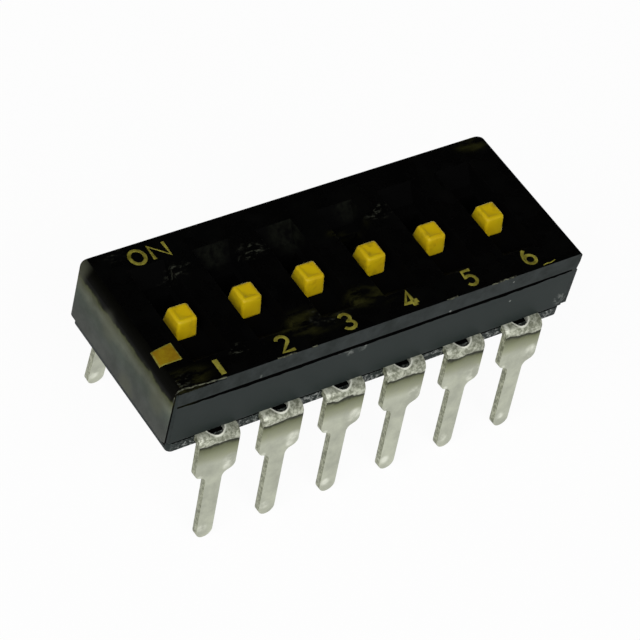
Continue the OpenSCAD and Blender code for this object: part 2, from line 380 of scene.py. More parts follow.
def make_end_plastic():
    material, shader = new_material("black_pbt_painted_reflection", IOR=PBT_IOR, Roughness=0.6, Specular_IOR_Level=0.03)
    place = add_node(material, "TexCoord").outputs["Object"]
    parts = add_node(material, "SeparateXYZ", {"Vector": place})
    cloud, wander = add_cloud(material, place, 0.8, (0.3, 0.7), (-0.11 * MM, 0.11 * MM), Detail=3.0, Roughness=0.6)
    height = add_node(material, "Math", {0: parts.outputs["Z"], 1: wander}, operation="ADD")
    uneven = add_cloud(material, place, 1.1, (0.35, 0.65), (0.8, 1.2), Detail=5.0, Roughness=0.65)[1]
    # The height ramp paints the floor's reflection as grey, the horizon's as an olive lip, and shade as black at the
    # top edge.
    mottled_light_and_shade = add_node(material, "VectorMath", {0: add_height_ramp(material, height, END_LIGHT_AND_SHADE), "Scale": uneven},
                       operation="SCALE")
    # Paler spots; the one on the far rounded corner is a painted glint.
    rubs = add_node(material, "Math", {0: spots_mask(material, place, END_PALE_SPOTS_AND_GLINT, (1, 0.8, 0.6)), 1: 0.5},
                    operation="MULTIPLY")
    colour = add_node(material, "Mix", {0: rubs, 6: mottled_light_and_shade, 7: "#585a4c"}, data_type="RGBA")
    bump = add_node(material, "Bump", {"Height": cloud, "Strength": 0.35, "Distance": 0.01 * MM})
    set_sockets(material, shader, {"Base Color": colour, "Normal": bump})
    return material


end_plastic = make_end_plastic()
print("Made", end_plastic.name)

# %% [markdown]
# ## Matt side plastic
# The long sides of the cover slide out of the mould, so they are drawn matt and mirror less than the top. That is
# another finish of the same plastic: rougher, with a lower specular level, and a cloud that mottles it. Its dark grey
# colour is partly painted reflection of the floor. A few pale scuffs, and pale specks that are painted glints, lie on
# it and run on over the base.

# %% Drawn black PBT
SIDE_SCUFFS = [(8.0, -3.2, 5.4, 0.4), (-1.3, -3.2, 6.62, 0.3), (-0.8, -3.2, 6.6, 0.25), (-4.9, -3.2, 6.95, 0.12)]
SIDE_GLINTS = [(2.79, -3.2, 6.88, 0.06), (5.41, -3.2, 7.28, 0.05), (5.54, -3.2, 6.26, 0.06), (-1.75, -3.2, 6.7, 0.08),
               (-0.67, -3.2, 6.64, 0.07)]


def add_side_marks(material, place, plain):
    """A colour with a few pale scuffs on it, and specks that are painted glints."""
    broken = add_cloud(material, place, 0.2, (0.48, 0.64), (0.0, 0.8), Detail=3.0, Roughness=0.7)[1]
    scuffs = add_node(material, "Math", {0: broken, 1: spots_mask(material, place, SIDE_SCUFFS)}, operation="MULTIPLY")
    marks = add_node(material, "Math", {0: scuffs, 1: spots_mask(material, place, SIDE_GLINTS)}, operation="MAXIMUM")
    return add_node(material, "Mix", {0: marks, 6: plain, 7: "#7c807c"}, data_type="RGBA")


def make_side_plastic():
    material, shader = new_material("drawn_black_pbt", IOR=PBT_IOR, Roughness=0.55, Specular_IOR_Level=0.11)
    place = add_node(material, "TexCoord").outputs["Object"]
    cloud, mottle = add_cloud(material, place, 0.6, (0.35, 0.65), Detail=4.0, Roughness=0.65)
    # The dark grey, paler than the top's black, is partly painted reflection of the floor; the cloud mottles it.
    colour = add_node(material, "Mix", {0: mottle, 6: "#0f1816", 7: "#252b2b"}, data_type="RGBA")
    bump = add_node(material, "Bump", {"Height": cloud, "Strength": 0.4, "Distance": 0.01 * MM})
    set_sockets(material, shader, {"Base Color": add_side_marks(material, place, colour), "Normal": bump})
    return material


side_plastic = make_side_plastic()
print("Made", side_plastic.name)

# %% [markdown]
# ## Recess plastic
# The walls of the recesses come from spark-eroded tool faces. Their fine pits trap light, so hardly anything
# mirrors in them. They get a finish of their own: rough, with a low specular level, and dark dust on the slopes
# that fingers rub most. The grease and the scuffs run on over their edges. The same dark finish paints shade in the
# base's grooves, the cover's breaks and a strip of its near left corner.

# %% Spark-eroded black PBT
DUST_SPOTS = [(-3.75, 2.0, 7.4, 0.8), (-0.8, 1.9, 7.3, 1.0), (1.7, 2.1, 7.4, 0.7)]


def make_recess_plastic():
    material, shader = new_material("eroded_black_pbt_and_painted_shade", IOR=PBT_IOR, Roughness=0.8, Specular_IOR_Level=0.03)
    place = add_node(material, "TexCoord").outputs["Object"]
    settled = add_cloud(material, place, 0.3, (0.35, 0.75), Detail=4.0, Roughness=0.7)[1]
    dust = add_node(material, "Math", {0: settled, 1: spots_mask(material, place, DUST_SPOTS)}, operation="MULTIPLY")
    colour = add_node(material, "Mix", {0: dust, 6: add_grime(material, place), 7: "#151711"}, data_type="RGBA")
    set_sockets(material, shader, {"Base Color": colour})
    return material


# This finish also serves as painted shade in grooves and breaks.
recess_and_shade_plastic = make_recess_plastic()
print("Made", recess_and_shade_plastic.name)

# %% [markdown]
# ## The cover
# The real cover is one thin moulding: a flat top with six slots in sunk, sloping recesses, and two end walls that
# fold down over the base. A block is rounded and hollowed, then a tapered tool cuts each recess. Booleans suit
# this, because a mould is made the same way, with one tool for each pocket. The cover has worn and broken edges:
# its near right corner is chipped under the lip, and the top's front edge is torn off raggedly on the left.

# %% Cover shell
END_ROUND = 0.35
FAR_END_ROUND = 0.1
END_SEGMENTS = 12
CORNER_ROUND = 0.2
FAR_CORNER_ROUND = 0.35
HOLLOW_X = base_high.x + HAIR
CHIP = 0.11
CHIP_MARGIN = 0.1
TEAR_HEIGHT = 0.1
TEAR_DEPTH = 0.12
TEAR_LEAST = 0.01
TEAR_RAGGED = 0.02
TEAR_END = -6.4
PLUG_DEPTH = 0.69
RUNNING = 0.05
OVERLAP = 0.01
DIVIDER = 0.5
TRAVEL = 0.9
WELL_HALF_X = -FIRST_X + (PITCH - DIVIDER) / 2
WELL_HALF_Y = slider_y + TRAVEL + (slider_high.y - slider_low.y) / 2 + 2 * RUNNING


def add_cover_shell():
    shell = add_block("cover_shell", cover_low, cover_high)
    for side, radius in ((-1, END_ROUND), (1, FAR_END_ROUND)):
        edit(shell, "EDGE")
        pick_edges(shell, lambda a, b: min(side * a.x, side * b.x) > cover_high.x - HAIR
                   and min(a.z, b.z) > TOP - HAIR)
        bpy.ops.mesh.bevel(offset=radius, segments=END_SEGMENTS, affect="EDGES")
        done()
    corners = add_block("corner_tool", cover_low - Vector((0, 0, EXTRA)), cover_high + Vector((0, 0, EXTRA)))
    round_upright_edges(corners, FAR_CORNER_ROUND, 8, keep_sharp=lambda corner: min(corner.x, corner.y) < 0)
    round_upright_edges(corners, CORNER_ROUND, 6, keep_sharp=lambda corner: corner.x > 0)
    combine(shell, corners, "INTERSECT")
    cut_block(shell, (-HOLLOW_X, cover_low.y - EXTRA, cover_low.z - EXTRA), (HOLLOW_X, cover_high.y + EXTRA, PARTING))
    return shell


def chip_near_corner(shell):
    """Chips the near right corner under its lip, deepest at the parting line and at the front."""
    chip = add_block("chip_tool", (cover_high.x - CHIP, cover_low.y - EXTRA, PARTING - CHIP_MARGIN),
                     (cover_high.x + EXTRA, cover_low.y + 6 * CHIP, TOP - CHIP_MARGIN))
    for corner in chip.data.vertices:
        if corner.co.x < cover_high.x:
            corner.co.x += CHIP * ((corner.co.z > PARTING) + (corner.co.y > cover_low.y))
    combine(shell, chip, "DIFFERENCE")


def tear_depth(x):
    """How far the tear reaches in from the front face, which is most at the near left corner."""
    return max(TEAR_LEAST, TEAR_DEPTH * (TEAR_END - x) / (TEAR_END - cover_low.x))


def tear_front_edge(shell):
    """Tears the top's front edge off raggedly, from the near left corner on."""
    tool = add_ragged_block("tear_tool", (cover_low.x - EXTRA, cover_low.y - EXTRA, TOP - TEAR_HEIGHT),
                            (TEAR_END, cover_low.y, TOP + EXTRA), TEAR_RAGGED, random.Random(7))
    for corner in tool.data.vertices:
        if corner.co.y > cover_low.y - HAIR:
            corner.co.y += tear_depth(corner.co.x)
    combine(shell, tool, "DIFFERENCE")


cover = add_cover_shell()
chip_near_corner(cover)
tear_front_edge(cover)
plug = add_block("plug", (RUNNING - WELL_HALF_X, RUNNING - WELL_HALF_Y, PARTING - PLUG_DEPTH),
                 (WELL_HALF_X - RUNNING, WELL_HALF_Y - RUNNING, PARTING + OVERLAP))
combine(cover, plug, "UNION")
print("Cover shell has", len(cover.data.polygons), "faces")

# %% Recesses and slots
RECESS_LENGTH = 4.4
RECESS_WIDTH = 1.45
RECESS_DEPTH = 0.6
END_SLOPE = 0.54
SIDE_SLOPE = 0.08
KNOB_WIDTH = 0.82
KNOB_LENGTH = 1.0
RECESS_FLOOR = TOP - RECESS_DEPTH


def add_recess_tool():
    """The tapered tool that sinks the first recess, open at the top."""
    tool = add_block("recess_tool", (FIRST_X - RECESS_WIDTH / 2, -RECESS_LENGTH / 2, RECESS_FLOOR),
                     (FIRST_X + RECESS_WIDTH / 2, RECESS_LENGTH / 2, TOP))
    edit(tool)
    pick_faces(tool, lambda middle, normal: normal.z < -0.9)
    narrow = 1 - 2 * SIDE_SLOPE / RECESS_WIDTH
    short = 1 - 2 * END_SLOPE / RECESS_LENGTH
    bpy.ops.transform.resize(value=(narrow, short, 1), center_override=(FIRST_X, 0, RECESS_FLOOR))
    bpy.ops.mesh.select_all(action="DESELECT")
    pick_faces(tool, lambda middle, normal: normal.z > 0.9)
    bpy.ops.mesh.extrude_region_move(TRANSFORM_OT_translate={"value": (0, 0, EXTRA)})
    done()
    return tool


def add_slot_tool():
    """The straight tool that opens the first slot, which the knob slides in."""
    half_x = KNOB_WIDTH / 2 + RUNNING
    reach = KNOB_LENGTH / 2 + RUNNING
    return add_block("slot_tool", (FIRST_X - half_x, slider_y - reach, PARTING - PLUG_DEPTH - EXTRA),
                     (FIRST_X + half_x, slider_y + TRAVEL + reach, RECESS_FLOOR + OVERLAP))


recess_tool = add_recess_tool()
slot_tool = add_slot_tool()
for x in switch_x:
    for tool in (recess_tool, slot_tool):
        combine(cover, copy_of(tool, "recess_cut", (x - FIRST_X, 0, 0)), "DIFFERENCE")
for tool in (recess_tool, slot_tool):
    bpy.data.objects.remove(tool)
print("Cut", len(switch_x), "recesses and slots")

# %% The cover's finishes
EDGE_SOFT = 0.03
SHADE_FROM = 0.02
CORNER_SHADE_TO = 0.06


def cover_finish(middle, normal):
    """The finish of a face: 0 for the top, 1 in the recesses, the breaks and a strip of the near left corner, 2 on the
    long sides, 3 at the ends. On the breaks and the corner strip the dark finish is painted shade.
    """
    depth = middle.y - cover_low.y
    in_recess = abs(middle.x) < WELL_HALF_X and abs(middle.y) < RECESS_LENGTH / 2 + HAIR
    # The tear is a real undercut, and its dark finish adds painted shade under the lip.
    in_tear = (middle.x < TEAR_END and middle.z > TOP - 2 * TEAR_HEIGHT
               and SHADE_FROM < depth < tear_depth(middle.x) + HAIR)
    # A strip down the near left corner's rounding gets the dark finish as painted shade.
    in_corner_shade = middle.x < cover_low.x + CORNER_ROUND and SHADE_FROM < depth < CORNER_SHADE_TO
    if (in_recess or in_tear or in_corner_shade) and middle.z < TOP - HAIR and normal.z > -0.9:
        return 1
    if abs(middle.y) > cover_high.y - CORNER_ROUND and abs(normal.y) > 0.75:
        return 2
    if abs(middle.x) > cover_high.x - END_ROUND and abs(normal.x) > 0.1:
        return 3
    return 0


soften(cover, EDGE_SOFT, keep_sharp=lambda a, b: abs(a.x - b.x) < HAIR and abs(abs(a.x) - HOLLOW_X) < HAIR
       and max(a.z, b.z) < PARTING + HAIR)
dress(cover, (cover_plastic, recess_and_shade_plastic, side_plastic, end_plastic), cover_finish)
finish_counts = [sum(face.material_index == slot for face in cover.data.polygons) for slot in range(4)]
to_metres(cover)
cover.name = "moulded_cover"
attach(cover, "housing")
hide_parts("cover")
print("Cover faces: on top, in the recesses, on the long sides and at the ends:", finish_counts)

# %% [markdown]
# ## Slate base plastic
# The base is the same family of plastic from a less polished mould, so it is a satin dark slate. Its lower band is
# rougher, because the two halves of the mould meet there, and it shows as a paler speckle that leaves the ends
# clean. A Map Range on the height blends the two, and the speckle is 0.14 mm across.

# %% Moulded slate PBT
def make_base_plastic():
    material, shader = new_material("moulded_slate_pbt", IOR=PBT_IOR, Specular_IOR_Level=0.11)
    place = add_node(material, "TexCoord").outputs["Object"]
    parts = add_node(material, "SeparateXYZ", {"Vector": place})
    band = add_node(material, "MapRange", {"Value": parts.outputs["Z"], "From Min": 5.02 * MM, "From Max": 4.94 * MM})
    outwards = add_node(material, "Math", {0: parts.outputs["X"]}, operation="ABSOLUTE")
    clean_end = add_node(material, "MapRange", {"Value": outwards, "From Min": 8.1 * MM, "From Max": 7.6 * MM})
    cloud, rough = add_cloud(material, place, 2.2, (0.3, 0.7), (0.5, 0.6), Detail=4.0)
    slate = add_node(material, "Mix", {0: cloud, 6: "#1b2322", 7: "#242b2a"}, data_type="RGBA")
    speckle, pale = add_cloud(material, place, 0.14, (0.5, 0.64), Detail=3.0, Roughness=0.7)
    on_band = add_node(material, "Math", {0: clean_end, 1: band}, operation="MULTIPLY")
    amount = add_node(material, "Math", {0: pale, 1: on_band}, operation="MULTIPLY")
    colour = add_node(material, "Mix", {0: amount, 6: slate, 7: "#8d908e"}, data_type="RGBA")
    bump = add_node(material, "Bump", {"Height": speckle, "Strength": 0.3, "Distance": 0.008 * MM})
    set_sockets(material, shader, {"Base Color": add_side_marks(material, place, colour), "Roughness": rough,
                                   "Normal": bump})
    return material


base_plastic = make_base_plastic()
print("Made", base_plastic.name)

# %% [markdown]
# ## The base
# The base is a tray with a bay for each switch. Seen from outside it is two steps: upright walls, then a band
# under the terminals with a fine groove between them. The bays are hidden, but they are real, so they are cut too.
# The cover doesn't close quite evenly on the long walls, which leaves a dark, ragged line that closes towards both
# ends. It is a shallow step, cut with a block whose lower edge rises and falls at random. The grooves get the dark
# finish of the recesses, as painted shade in them.

# %% Base walls, band and bays
BAND_GROOVE = 0.06
BAND_ROUND = 0.2
BAND_BEVEL = 0.15
NECK_OVERLAP = 0.1
STOCK = 0.25
SHOULDER_WIDTH = 1.6
SLIDER_TOP = PARTING - PLUG_DEPTH - RUNNING
LEG_HEIGHT = STRIP_TOP - STOCK


def add_base_body():
    inset = Vector((BAND_GROOVE, BAND_GROOVE, 0))
    band_top = STRIP_TOP - BAND_GROOVE
    walls = add_block("base_walls", (base_low.x, base_low.y, STRIP_TOP), base_high)
    band = add_block("band", base_low, (base_high.x, base_high.y, band_top))
    round_upright_edges(band, BAND_ROUND, 6)
    edit(band, "EDGE")
    pick_edges(band, lambda a, b: max(a.z, b.z) < base_low.z + HAIR and abs(a.x - b.x) < HAIR
               and abs(abs(a.x) - base_high.x) < HAIR)
    bpy.ops.mesh.bevel(offset=BAND_BEVEL, segments=2, affect="EDGES")
    done()
    neck = add_block("neck", Vector((base_low.x, base_low.y, band_top - NECK_OVERLAP)) + inset,
                     Vector((base_high.x, base_high.y, STRIP_TOP + NECK_OVERLAP)) - inset)
    combine(walls, neck, "UNION")
    combine(walls, band, "UNION")
    return walls


def cut_bays(body):
    half_bay = (PITCH - DIVIDER) / 2
    for x in switch_x:
        cut_block(body, (x - half_bay, -WELL_HALF_Y, STRIP_TOP), (x + half_bay, WELL_HALF_Y, PARTING + EXTRA))
    cut_block(body, (-WELL_HALF_X, -WELL_HALF_Y, SLIDER_TOP), (WELL_HALF_X, WELL_HALF_Y, PARTING + EXTRA))


def cut_terminal_channels(body):
    half = SHOULDER_WIDTH / 2
    for x in switch_x:
        for start, end in ((base_low.y - EXTRA, FRONT_END), (REAR_END, base_high.y + EXTRA)):
            cut_block(body, (x - half, start, LEG_HEIGHT), (x + half, end, STRIP_TOP))


base = add_base_body()
cut_bays(base)
cut_terminal_channels(base)
print("Base body has", len(base.data.polygons), "faces")

# %% Parting line and finish
LINE_HEIGHT = 0.18
LINE_DEPTH = 0.1
LINE_RAGGED = 0.02
LINE_OPEN = 5.5
LINE_CLOSING = 0.035
BASE_SOFT = 0.015
ragged_seed = random.Random(3)


def cut_parting_line(body, side):
    """Steps the top edge of a long wall back, raggedly and less towards both ends."""
    near, far = sorted((side * (base_high.y - LINE_DEPTH), side * (base_high.y + EXTRA)))
    tool = add_ragged_block("line_tool", (base_low.x - EXTRA, near, PARTING - LINE_HEIGHT),
                            (base_high.x + EXTRA, far, PARTING + EXTRA), LINE_RAGGED, ragged_seed)
    for corner in tool.data.vertices:
        if corner.co.z < PARTING:
            corner.co.z += LINE_CLOSING * max(0, abs(corner.co.x) - LINE_OPEN)
    combine(body, tool, "DIFFERENCE")


def in_a_groove(middle):
    """Tells whether a face lies in the parting line, the band's groove or a terminal's channel."""
    outside = abs(middle.y) > base_high.y - LINE_DEPTH - HAIR or abs(middle.x) > base_high.x - LINE_DEPTH
    line = middle.z > PARTING - LINE_HEIGHT - 2 * LINE_RAGGED
    groove = STRIP_TOP - BAND_GROOVE - HAIR < middle.z < STRIP_TOP + HAIR
    channel = LEG_HEIGHT - HAIR < middle.z < STRIP_TOP and abs(middle.y) < base_high.y - HAIR
    return outside and (line or groove) or channel


for side in (-1, 1):
    cut_parting_line(base, side)
soften(base, BASE_SOFT, keep_sharp=lambda a, b: abs(a.x - b.x) < HAIR and abs(abs(a.x) - base_high.x) < HAIR
       and max(a.z, b.z) > STRIP_TOP + HAIR)
# The parting line, the band's groove and the channels get the dark finish as painted shade.
dress(base, (base_plastic, recess_and_shade_plastic), lambda middle, normal: int(in_a_groove(middle)))
to_metres(base)
base.name = "moulded_base"
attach(base, "housing")
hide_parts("base")
print("Base has", len(base.data.polygons), "faces")

# %% [markdown]
# ## Yellow slider plastic
# The sliders are nylon, dyed a warm yellow that turns greener where it is worn. The stain is a soft noise, with a
# few specks of dirt. Nylon is slightly soft to the light, so a little pale sheen brightens its outline.

# %% Dyed yellow nylon
def make_slider_plastic():
    material, shader = new_material("dyed_yellow_nylon", IOR=1.53, Roughness=0.45, Specular_IOR_Level=0.18,
                                    Sheen_Weight=0.5, Sheen_Roughness=0.3, Sheen_Tint="#f4efb0")
    place = add_node(material, "TexCoord").outputs["Object"]
    stain = add_node(material, "TexNoise", {"Vector": place, "Scale": per(0.7), "Detail": 3.0})
    body = add_node(material, "Mix", {0: stain, 6: "#bc9806", 7: "#bfaa07"}, data_type="RGBA")
    dirt = add_cloud(material, place, 0.3, (0.55, 0.75), (0.0, 0.4), Detail=3.0)[1]
    colour = add_node(material, "Mix", {0: dirt, 6: body, 7: "#5c4a10"}, data_type="RGBA")
    bump = add_node(material, "Bump", {"Height": stain, "Strength": 0.3, "Distance": 0.01 * MM})
    set_sockets(material, shader, {"Base Color": colour, "Normal": bump})
    return material


slider_plastic = make_slider_plastic()
print("Made", slider_plastic.name)

# %% [markdown]
# ## The sliders
# Each slider is a knob on a hollow block. The knob has a slight taper, well rounded edges and a shallow dish in its
# top, where the plastic sank as it cooled. The dish is pressed in after the rounding, so that no face folds over.
# The slider is modelled once, at the first switch, and copied along the row.

# %% Knob and block
KNOB_TOP_LENGTH = 0.78
KNOB_DRAFT = 0.03
KNOB_SOFT = 0.11
KNOB_ROOT = 0.1
DISH_LIP = 0.01
DISH_SLOPE = 0.08
DISH_DEPTH = 0.04
ROOF = 0.21
STRIP_WIDTH = 1.0
POCKET_HALF = 0.78


def add_knob():
    tip = slider_high.z
    knob = add_block("knob", (FIRST_X - KNOB_WIDTH / 2, slider_y - KNOB_LENGTH / 2, SLIDER_TOP - KNOB_ROOT),
                     (FIRST_X + KNOB_WIDTH / 2, slider_y + KNOB_LENGTH / 2, RECESS_FLOOR))
    edit(knob)
    pick_faces(knob, lambda middle, normal: normal.z > 0.9)
    bpy.ops.mesh.extrude_region_move(TRANSFORM_OT_translate={"value": (0, 0, tip - RECESS_FLOOR)})
    bpy.ops.transform.resize(value=(1 - 2 * KNOB_DRAFT / KNOB_WIDTH, KNOB_TOP_LENGTH / KNOB_LENGTH, 1),
                             center_override=(FIRST_X, slider_y, tip))
    done()
    soften(knob, KNOB_SOFT, 4)
    edit(knob)
    pick_faces(knob, lambda middle, normal: middle.z > tip - HAIR)
    for thickness in (DISH_LIP, DISH_SLOPE):
        bpy.ops.mesh.inset(thickness=thickness)
    bpy.ops.transform.translate(value=(0, 0, -DISH_DEPTH))
    done()
    return knob


def add_slider_block():
    block = add_block("slider_block", slider_low, (slider_high.x, slider_high.y, SLIDER_TOP))
    half_x = STRIP_WIDTH / 2 + RUNNING
    cut_block(block, (FIRST_X - half_x, slider_y - POCKET_HALF, slider_low.z - EXTRA),
              (FIRST_X + half_x, slider_y + POCKET_HALF, SLIDER_TOP - ROOF))
    return block


slider = add_slider_block()
combine(slider, add_knob(), "UNION")
soften(slider, EDGE_SOFT)
to_metres(slider)
slider.data.materials.append(slider_plastic)
for k, x in zip(POSITIONS, switch_x):
    copy = copy_of(slider, f"slider_knob_{k}", ((x - FIRST_X) * MM, 0, 0))
    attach(copy, f"slider_{k}")
    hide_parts(f"actuator_{k}")
bpy.data.objects.remove(slider)
print("Made", len(switch_x), "sliders")

# %% [markdown]
# ## Tin plate
# The terminals are punched from copper alloy strip and plated with matt tin. Tin is a warm, pale grey metal with
# soft reflections. The press leaves a grainy, half dull zone on the bend. Below it, a dark line and a dark band that
# clears towards the pin are painted shade and reflection where the bend turns into the leg. That follows the height,
# so a Color Ramp reads it from Object Z. The sheared sides of the strip are darker than its rolled faces, and Normal X
# tells them apart. A few painted highlights sit at the same places on each terminal, and one rings the relief hole. To
# find those places again on each copy, X is folded by the pitch, so that it counts from the middle of the nearest
# terminal.

# %% Satin tin
TIN_AND_PAINTED_SHADE = [(3.7, "#b7baa9"), (4.0, "#9c9f88"), (4.25, "#878b70"), (4.43, "#6d7154"), (4.5, "#4b4e38"),
           (4.55, "#2c2e22"), (4.59, "#333526"), (4.63, "#a3a596")]
COINED_FROM = 4.6
COINED_TO = 4.65
PAINTED_HIGHLIGHT_SPOTS = [(0.55, 0, 3.62, 0.36), (0.45, 0, 3.35, 0.22), (-0.6, 0, 3.2, 0.14), (-0.12, 0, 0.5, 0.25),
                   (-0.7, 0, 4.93, 0.14)]
LINE_TILT = 0.06
HOLE_RIM_HIGHLIGHT = (0, 3.1, 4.99)


def fold_by_pitch(material, along):
    """How far a place along the row is from the middle of the nearest terminal."""
    shifted = add_node(material, "Math", {0: along, 1: (PITCH / 2 - FIRST_X) * MM}, operation="ADD")
    folded = add_node(material, "Math", {0: shifted, 1: PITCH * MM}, operation="FLOORED_MODULO")
    return add_node(material, "Math", {0: folded, 1: PITCH / 2 * MM}, operation="SUBTRACT")


def make_terminal_metal():
    material, shader = new_material("satin_tin_plate")
    coordinates = add_node(material, "TexCoord")
    place = coordinates.outputs["Object"]
    parts = add_node(material, "SeparateXYZ", {"Vector": place})
    facing = add_node(material, "SeparateXYZ", {"Vector": coordinates.outputs["Normal"]})
    patches, wander = add_cloud(material, place, 0.7, (0.3, 0.7), (-0.09 * MM, 0.09 * MM), Detail=4.0, Roughness=0.6)
    worn, shine, rough = (add_node(material, "MapRange", {"Value": patches, "From Min": low, "From Max": high,
                                                          "To Min": least, "To Max": most})
                          for low, high, least, most in ((0.35, 0.7, 0.82, 1.18), (0.4, 0.6, 0.0, 1.0),
                                                         (0.3, 0.7, 0.32, 0.5)))
    grain, pitted = add_cloud(material, place, 0.13, (0.4, 0.62), Detail=3.0, Roughness=0.65)
    across = fold_by_pitch(material, parts.outputs["X"])
    tilted = add_node(material, "Math", {0: across, 1: LINE_TILT, 2: parts.outputs["Z"]}, operation="MULTIPLY_ADD")
    height = add_node(material, "Math", {0: tilted, 1: wander}, operation="ADD")
    coined = add_node(material, "MapRange", {"Value": height, "From Min": COINED_FROM * MM, "From Max": COINED_TO * MM})
    # The ramp paints a dark line and a dark reflection below the bend, clearing towards the pale pin.
    rolled_face_and_shade = add_node(material, "VectorMath", {0: add_height_ramp(material, height, TIN_AND_PAINTED_SHADE), "Scale": worn},
                      operation="SCALE")
    pits = add_node(material, "Mix", {0: pitted, 6: "#777a69", 7: "#bcbfae"}, data_type="RGBA")
    pressed = add_node(material, "Mix", {0: coined, 6: rolled_face_and_shade, 7: pits}, data_type="RGBA")
    sideways = add_node(material, "Math", {0: facing.outputs["X"]}, operation="ABSOLUTE")
    sheared = add_node(material, "MapRange", {"Value": sideways, "From Min": 0.3, "From Max": 0.8, "To Max": 0.75})
    torn = add_node(material, "Mix", {0: pitted, 6: "#54573f", 7: "#a4a78f"}, data_type="RGBA")
    cut = add_node(material, "Mix", {0: sheared, 6: pressed, 7: torn}, data_type="RGBA")
    on_face = add_node(material, "CombineXYZ", {"X": across, "Z": parts.outputs["Z"]})
    # Painted highlights at the same spots on each terminal.
    highlights = add_node(material, "Math", {0: shine, 1: spots_mask(material, on_face, PAINTED_HIGHLIGHT_SPOTS)},
                         operation="MULTIPLY")
    # A painted highlight rings the relief hole, on the bend only.
    outwards = add_node(material, "Math", {0: parts.outputs["Y"]}, operation="ABSOLUTE")
    at_bend = add_node(material, "CombineXYZ", {"X": across, "Y": outwards, "Z": HOLE_RIM_HIGHLIGHT[2] * MM})
    from_hole = add_node(material, "VectorMath", {0: at_bend, 1: [c * MM for c in HOLE_RIM_HIGHLIGHT]}, operation="DISTANCE")
    rim_highlight = add_node(material, "MapRange", {"Value": from_hole, "From Min": 0.43 * MM, "From Max": 0.4 * MM})
    high_up = add_node(material, "Math", {0: rim_highlight, 1: coined}, operation="MULTIPLY")
    bright = add_node(material, "Math", {0: highlights, 1: high_up}, operation="MAXIMUM")
    colour = add_node(material, "Mix", {0: bright, 6: cut, 7: "#e2e4d6"}, data_type="RGBA")
    metal = add_node(material, "MapRange", {"Value": coined, "To Min": 1.0, "To Max": 0.35})
    bump = add_node(material, "Bump", {"Height": grain, "Strength": 0.5, "Distance": 0.02 * MM})
    set_sockets(material, shader, {"Base Color": colour, "Metallic": metal, "Roughness": rough, "Normal": bump})
    return material


terminal_metal = make_terminal_metal()
print("Made", terminal_metal.name)

# %% [markdown]
# ## The terminals
# A terminal is one punched strip. Its blank is drawn first: pin, taper and shoulder. Then it is spun round the
# bend and drawn into the base, and the relief hole is punched across the bend. Front and rear strips differ only
# in how far they reach in, so one function makes both, and the rear one is mirrored.

# %% Terminal blank and bend
BEND_RADIUS = 0.1
BEND_OUTER = BEND_RADIUS + STOCK
BEND_REACH = 0.4
BEND_STEPS = 8
BEND_Y = base_high.y + BEND_REACH - BEND_OUTER
BEND_Z = STRIP_TOP - BEND_OUTER
ROW_HALF = 3.81
SLANT = (math.acos((BEND_RADIUS + STOCK / 2) / math.hypot(ROW_HALF - BEND_Y, BEND_Z))
         - math.atan2(BEND_Z, ROW_HALF - BEND_Y))
PIN_WIDTH = 0.65
PIN_LENGTH = 2.85
SHOULDER_ROUND = 0.3
SHOULDER_STEP = (SHOULDER_WIDTH - PIN_WIDTH) / 2
SHOULDER_RISE = math.sqrt(4 * SHOULDER_ROUND * SHOULDER_STEP - SHOULDER_STEP ** 2)
SHOULDER_STEPS = 16
RELIEF_HOLE = 0.72
RELIEF_INSET = 0.1
LEG_LENGTH = (BEND_Z + BEND_RADIUS * math.sin(SLANT)) / math.cos(SLANT)
STRIP_SOFT = 0.035
FLAT = math.radians(0.5)


def extrude_down(drop, width_share):
    """Extrudes the strip's lower end and narrows it along the row."""
    bpy.ops.mesh.extrude_region_move(TRANSFORM_OT_translate={"value": (0, 0, -drop)})
    bpy.ops.transform.resize(value=(width_share, 1, 1), center_override=(FIRST_X, 0, 0))


def shoulder_half_width(share):
    """Half the strip's width, some share of the way up the S curve: one arc out of the pin, one into the shoulder."""
    height = share * SHOULDER_RISE
    if share < 0.5:
        return PIN_WIDTH / 2 + SHOULDER_ROUND - math.sqrt(SHOULDER_ROUND ** 2 - height ** 2)
    return SHOULDER_WIDTH / 2 - SHOULDER_ROUND + math.sqrt(SHOULDER_ROUND ** 2 - (SHOULDER_RISE - height) ** 2)


def add_leg():
    """The leg hanging straight down from the bend, at the first switch."""
    drop = BEND_Z - LEG_LENGTH
    leg = add_block("terminal", (FIRST_X - SHOULDER_WIDTH / 2, -BEND_Y - BEND_OUTER, drop + PIN_LENGTH + SHOULDER_RISE),
                    (FIRST_X + SHOULDER_WIDTH / 2, -BEND_Y - BEND_RADIUS, BEND_Z))
    edit(leg)
    pick_faces(leg, lambda middle, normal: normal.z < -0.9)
    for step in range(SHOULDER_STEPS):
        above, below = (shoulder_half_width(1 - share / SHOULDER_STEPS) for share in (step, step + 1))
        extrude_down(SHOULDER_RISE / SHOULDER_STEPS, below / above)
    extrude_down(PIN_LENGTH, 1)
    bpy.ops.mesh.select_all(action="DESELECT")
    bpy.ops.mesh.select_mode(type="EDGE")
    pick_edges(leg, lambda a, b: max(a.z, b.z) < drop + HAIR and abs(a.x - b.x) < HAIR)
    bpy.ops.mesh.bevel(offset=PIN_WIDTH / 2 - HAIR, segments=8, affect="EDGES")
    done()
    return leg


